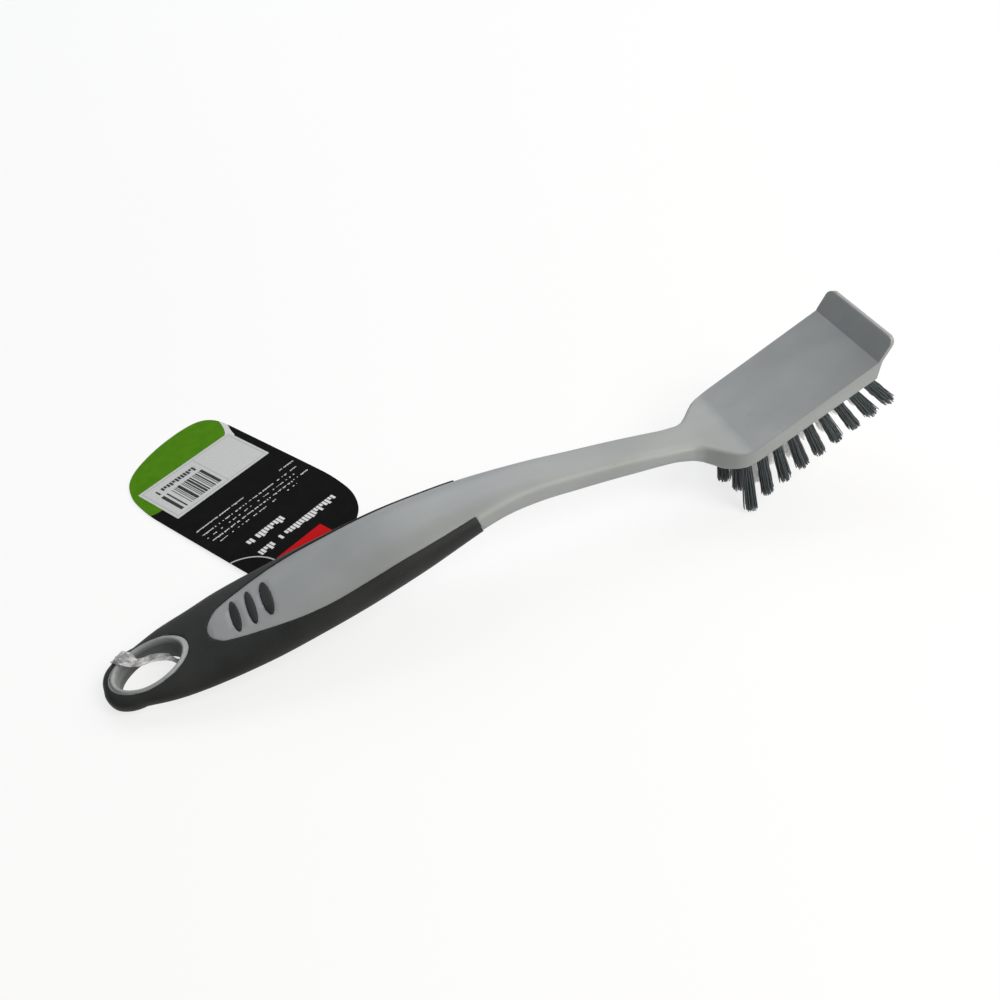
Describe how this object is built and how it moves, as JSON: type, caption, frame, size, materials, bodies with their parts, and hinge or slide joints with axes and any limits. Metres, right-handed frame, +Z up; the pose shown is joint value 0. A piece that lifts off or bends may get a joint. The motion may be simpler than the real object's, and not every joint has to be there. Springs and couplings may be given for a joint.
{
  "type": "dish brush",
  "caption": "Long-handled dish brush with a soft grip, hanging eye, angled bristle head and scraper lip, lying flat with a swivelling card tag on a clear strap.",
  "frame": {"origin": "middle of the small flat under the handle's free end, on the surface that the brush lies on", "axes": "+Z up; +X along the handle from the free end to the head; the brush is symmetric about Y = 0, and the tag lies on the +Y side"},
  "size_m": [0.2794, 0.1573, 0.0526],
  "materials": {
    "grey_plastic": "satin moulded grey plastic",
    "soft_rubber": "matt charcoal soft-touch skin",
    "dark_bristle": "dark grey bristle filament",
    "pale_bristle": "white bristle filament",
    "clear_film": "clear plastic strap",
    "tag_card": "printed coated card, black and green",
    "label_paper": "pale grey paper label"
  },
  "bodies": {
    "brush": {"core_body": "grey_plastic", "soft_grip": "soft_rubber", "tuft_1_1": "dark_bristle", "tuft_1_2": "dark_bristle", "tuft_1_3": "dark_bristle", "tuft_1_4": "dark_bristle", "tuft_1_5": "dark_bristle", "tuft_2_1": "dark_bristle", "tuft_2_2": "pale_bristle", "tuft_2_3": "pale_bristle", "tuft_2_4": "pale_bristle", "tuft_2_5": "pale_bristle", "tuft_2_6": "dark_bristle", "tuft_3_1": "dark_bristle", "tuft_3_2": "pale_bristle", "tuft_3_3": "pale_bristle", "tuft_3_4": "pale_bristle", "tuft_3_5": "dark_bristle", "tuft_4_1": "dark_bristle", "tuft_4_2": "pale_bristle", "tuft_4_3": "pale_bristle", "tuft_4_4": "pale_bristle", "tuft_4_5": "pale_bristle", "tuft_4_6": "dark_bristle", "tuft_5_1": "dark_bristle", "tuft_5_2": "pale_bristle", "tuft_5_3": "pale_bristle", "tuft_5_4": "pale_bristle", "tuft_5_5": "dark_bristle", "tuft_6_1": "dark_bristle", "tuft_6_2": "pale_bristle", "tuft_6_3": "pale_bristle", "tuft_6_4": "pale_bristle", "tuft_6_5": "pale_bristle", "tuft_6_6": "dark_bristle", "tuft_7_1": "dark_bristle", "tuft_7_2": "pale_bristle", "tuft_7_3": "pale_bristle", "tuft_7_4": "pale_bristle", "tuft_7_5": "dark_bristle", "tuft_8_1": "dark_bristle", "tuft_8_2": "pale_bristle", "tuft_8_3": "pale_bristle", "tuft_8_4": "pale_bristle", "tuft_8_5": "pale_bristle", "tuft_8_6": "dark_bristle", "tuft_9_1": "dark_bristle", "tuft_9_2": "dark_bristle", "tuft_9_3": "dark_bristle", "tuft_9_4": "dark_bristle", "tuft_9_5": "dark_bristle", "tuft_9_6": "dark_bristle", "tuft_9_7": "dark_bristle", "tag_strap": "clear_film"},
    "tag": {"hang_tag": "tag_card", "tag_label": "label_paper"}
  },
  "joints": [
    {"name": "tag_swivel", "type": "hinge", "parent": "brush", "child": "tag", "pos_m": [0.0697, 0.0346, 0.001], "axis": [0, 0, 1], "range_deg": [-35, 35]}
  ]
}
